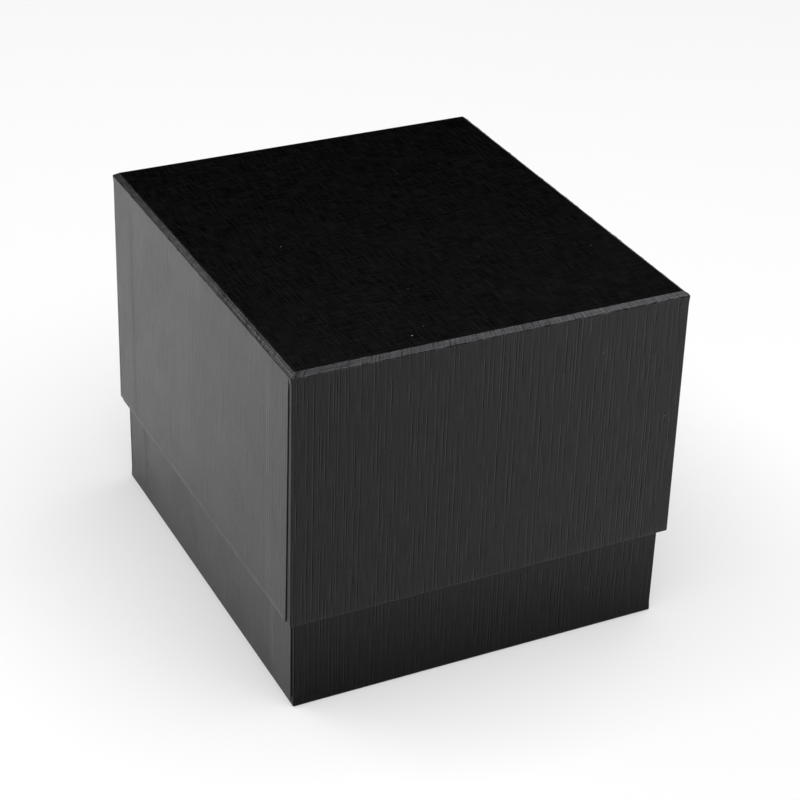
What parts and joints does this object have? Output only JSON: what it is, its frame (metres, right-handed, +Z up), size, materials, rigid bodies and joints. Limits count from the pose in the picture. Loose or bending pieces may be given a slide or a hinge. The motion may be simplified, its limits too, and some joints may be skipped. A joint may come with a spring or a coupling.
{
  "type": "lift-off lid gift box",
  "caption": "Small rigid gift box of paper-wrapped greyboard with a telescoping lift-off lid.",
  "frame": {"origin": "middle of the underside, on the surface the box stands on", "axes": "+Z up; +Y towards the back, along the box's longer side; +X to the right along the front"},
  "size_m": [0.1, 0.1134, 0.0892],
  "materials": {
    "embossed_paper": "linen-embossed, satin",
    "lining_paper": "smooth, matte",
    "greyboard": "raw, matte",
    "stay_tape": "gummed kraft, matte"
  },
  "bodies": {
    "base": {"base_board": "greyboard", "base_stay_front_left": "stay_tape", "base_stay_front_right": "stay_tape", "base_stay_back_left": "stay_tape", "base_stay_back_right": "stay_tape", "base_wrap": "embossed_paper", "base_floor_liner": "lining_paper", "base_wall_liner": "lining_paper"},
    "lid": {"lid_board": "greyboard", "lid_stay_front_left": "stay_tape", "lid_stay_front_right": "stay_tape", "lid_stay_back_left": "stay_tape", "lid_stay_back_right": "stay_tape", "lid_wrap": "embossed_paper", "lid_top_liner": "lining_paper", "lid_wall_liner": "lining_paper"}
  },
  "joints": [
    {"name": "lid_lift", "type": "slide", "parent": "base", "child": "lid", "axis": [0, 0, 1], "range_m": [0, 0.09]}
  ]
}
